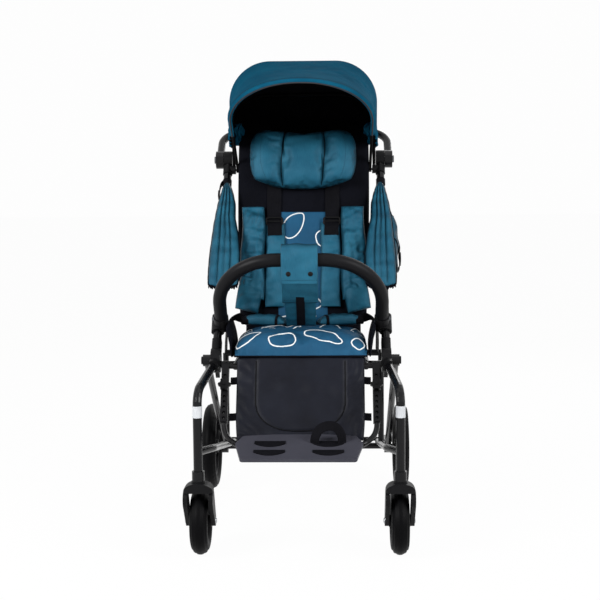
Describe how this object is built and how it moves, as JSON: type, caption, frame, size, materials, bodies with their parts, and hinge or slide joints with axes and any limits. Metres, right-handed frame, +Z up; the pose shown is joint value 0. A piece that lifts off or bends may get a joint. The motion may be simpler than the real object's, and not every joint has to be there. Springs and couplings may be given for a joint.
{
  "type": "special needs buggy",
  "caption": "Folding tubular buggy for a disabled child, with padded seat, harness, canopy, bumper and leg rest.",
  "frame": {"origin": "on the floor under the middle of the bounding box", "axes": "+Z up, the front faces -Y, +X to the right of a viewer in front"},
  "size_m": [0.6006, 0.8692, 1.2403],
  "materials": {
    "frame_black": "gloss",
    "plastic_black": "satin",
    "plastic_grey": "satin",
    "tyre": "matte",
    "foam": "matte",
    "fabric_teal": "matte",
    "fabric_black": "matte",
    "reflective": "satin"
  },
  "bodies": {
    "chassis": {"front_leg_left": "frame_black", "front_leg_right": "frame_black", "lower_rails": "frame_black", "uprights": "frame_black", "joint_blocks": "plastic_black", "seat_frame": "frame_black", "seat_board": "plastic_black", "seat_cushion": "fabric_teal", "hip_belts": "fabric_teal", "reflective_bands": "reflective", "bumper_sockets": "plastic_black", "side_wing_left": "fabric_teal", "side_wing_right": "fabric_teal", "handle_hubs": "plastic_black", "canopy_clamps": "plastic_black", "canopy_rear_bow": "frame_black", "canopy_middle_bow": "frame_black", "canopy_rear_cover": "fabric_teal", "side_bag": "fabric_teal"},
    "fold_lever_left": {"fold_lever_left": "plastic_black"},
    "fold_lever_right": {"fold_lever_right": "plastic_black"},
    "rear_frame": {"rear_leg_left": "frame_black", "rear_leg_right": "frame_black", "rear_axle_tube": "frame_black"},
    "brake": {"brake_bar": "plastic_black"},
    "rear_wheel_left": {"rear_tyre_left": "tyre", "rear_rim_left": "plastic_black"},
    "rear_wheel_right": {"rear_tyre_right": "tyre", "rear_rim_right": "plastic_black"},
    "caster_left": {"caster_fork_left": "plastic_black"},
    "caster_right": {"caster_fork_right": "plastic_black"},
    "caster_wheel_left": {"caster_tyre_left": "tyre", "caster_rim_left": "plastic_black"},
    "caster_wheel_right": {"caster_tyre_right": "tyre", "caster_rim_right": "plastic_black"},
    "handle": {"push_bar": "frame_black", "push_grip": "foam"},
    "handle_button_left": {"handle_button_left": "plastic_grey"},
    "handle_button_right": {"handle_button_right": "plastic_grey"},
    "backrest": {"backrest_frame": "frame_black", "backrest_pad": "fabric_black", "side_pads": "fabric_teal", "shoulder_straps": "fabric_teal"},
    "headrest": {"headrest": "fabric_teal"},
    "leg_rest": {"leg_hangers": "plastic_black", "calf_panel": "fabric_black"},
    "knob_left": {"star_knob_left": "plastic_black"},
    "knob_right": {"star_knob_right": "plastic_black"},
    "footrest": {"foot_tube": "frame_black"},
    "footplate": {"footplate": "plastic_grey"},
    "bumper": {"bumper_tube": "frame_black", "bumper_foam": "foam", "crotch_strap": "fabric_teal"},
    "bumper_button_left": {"bumper_button_left": "plastic_grey"},
    "bumper_button_right": {"bumper_button_right": "plastic_grey"},
    "canopy_front": {"canopy_front_bow": "frame_black", "canopy_front_cover": "fabric_teal"}
  },
  "joints": [
    {"name": "frame_fold", "type": "hinge", "parent": "chassis", "child": "rear_frame", "pos_m": [0, -0.15, 0.45], "axis": [-1, 0, 0], "range_deg": [0, 35]},
    {"name": "brake_press", "type": "hinge", "parent": "rear_frame", "child": "brake", "pos_m": [0, 0.35, 0.137], "axis": [-1, 0, 0], "range_deg": [0, 20]},
    {"name": "handle_angle", "type": "hinge", "parent": "chassis", "child": "handle", "pos_m": [0, 0.29, 0.968], "axis": [1, 0, 0], "range_deg": [-60, 15]},
    {"name": "backrest_recline", "type": "hinge", "parent": "chassis", "child": "backrest", "pos_m": [0, 0.08, 0.47], "axis": [-1, 0, 0], "range_deg": [-6, 30]},
    {"name": "headrest_height", "type": "slide", "parent": "backrest", "child": "headrest", "axis": [0, 0.342, 0.9397], "range_m": [-0.04, 0.03]},
    {"name": "leg_rest_angle", "type": "hinge", "parent": "chassis", "child": "leg_rest", "pos_m": [0, -0.185, 0.4395], "axis": [-1, 0, 0], "range_deg": [-6, 50]},
    {"name": "footrest_length", "type": "slide", "parent": "leg_rest", "child": "footrest", "axis": [0, -0.5, -0.866], "range_m": [0, 0.07]},
    {"name": "footplate_flip", "type": "hinge", "parent": "footrest", "child": "footplate", "pos_m": [0, -0.3251, 0.2629], "axis": [-1, 0, 0], "range_deg": [0, 60]},
    {"name": "bumper_pull", "type": "slide", "parent": "chassis", "child": "bumper", "axis": [0, -0.6184, 0.7858], "range_m": [0, 0.05]},
    {"name": "canopy_fold", "type": "hinge", "parent": "chassis", "child": "canopy_front", "pos_m": [0, 0.2654, 0.939], "axis": [-1, 0, 0], "range_deg": [0, 38], "deforming": ["canopy_front_cover"]},
    {"name": "fold_lever_left", "type": "hinge", "parent": "chassis", "child": "fold_lever_left", "pos_m": [-0.218, -0.136, 0.434], "axis": [1, 0, 0], "range_deg": [0, 16]},
    {"name": "rear_spin_left", "type": "hinge", "parent": "rear_frame", "child": "rear_wheel_left", "pos_m": [-0.279, 0.31, 0.125], "axis": [1, 0, 0], "continuous": true},
    {"name": "caster_swivel_left", "type": "hinge", "parent": "chassis", "child": "caster_left", "pos_m": [-0.242, -0.375, 0.2], "axis": [0, 0, 1], "continuous": true},
    {"name": "caster_spin_left", "type": "hinge", "parent": "caster_left", "child": "caster_wheel_left", "pos_m": [-0.242, -0.33, 0.082], "axis": [1, 0, 0], "continuous": true},
    {"name": "handle_button_left", "type": "slide", "parent": "handle", "child": "handle_button_left", "axis": [1, 0, 0], "range_m": [0, 0.004], "stiffness_N_per_m": 800},
    {"name": "bumper_button_left", "type": "slide", "parent": "chassis", "child": "bumper_button_left", "axis": [1, 0, 0], "range_m": [0, 0.003], "stiffness_N_per_m": 800},
    {"name": "knob_turn_left", "type": "hinge", "parent": "leg_rest", "child": "knob_left", "pos_m": [-0.19, -0.213, 0.391], "axis": [0, -0.866, 0.5], "continuous": true},
    {"name": "fold_lever_right", "type": "hinge", "parent": "chassis", "child": "fold_lever_right", "pos_m": [0.218, -0.136, 0.434], "axis": [1, 0, 0], "range_deg": [0, 16]},
    {"name": "rear_spin_right", "type": "hinge", "parent": "rear_frame", "child": "rear_wheel_right", "pos_m": [0.279, 0.31, 0.125], "axis": [1, 0, 0], "continuous": true},
    {"name": "caster_swivel_right", "type": "hinge", "parent": "chassis", "child": "caster_right", "pos_m": [0.242, -0.375, 0.2], "axis": [0, 0, 1], "continuous": true},
    {"name": "caster_spin_right", "type": "hinge", "parent": "caster_right", "child": "caster_wheel_right", "pos_m": [0.242, -0.33, 0.082], "axis": [1, 0, 0], "continuous": true},
    {"name": "handle_button_right", "type": "slide", "parent": "handle", "child": "handle_button_right", "axis": [-1, 0, 0], "range_m": [0, 0.004], "stiffness_N_per_m": 800},
    {"name": "bumper_button_right", "type": "slide", "parent": "chassis", "child": "bumper_button_right", "axis": [-1, 0, 0], "range_m": [0, 0.003], "stiffness_N_per_m": 800},
    {"name": "knob_turn_right", "type": "hinge", "parent": "leg_rest", "child": "knob_right", "pos_m": [0.19, -0.213, 0.391], "axis": [0, -0.866, 0.5], "continuous": true}
  ],
  "couplings": [
    {"joint": "fold_lever_left", "follows": "fold_lever_right", "ratio": 1}
  ]
}
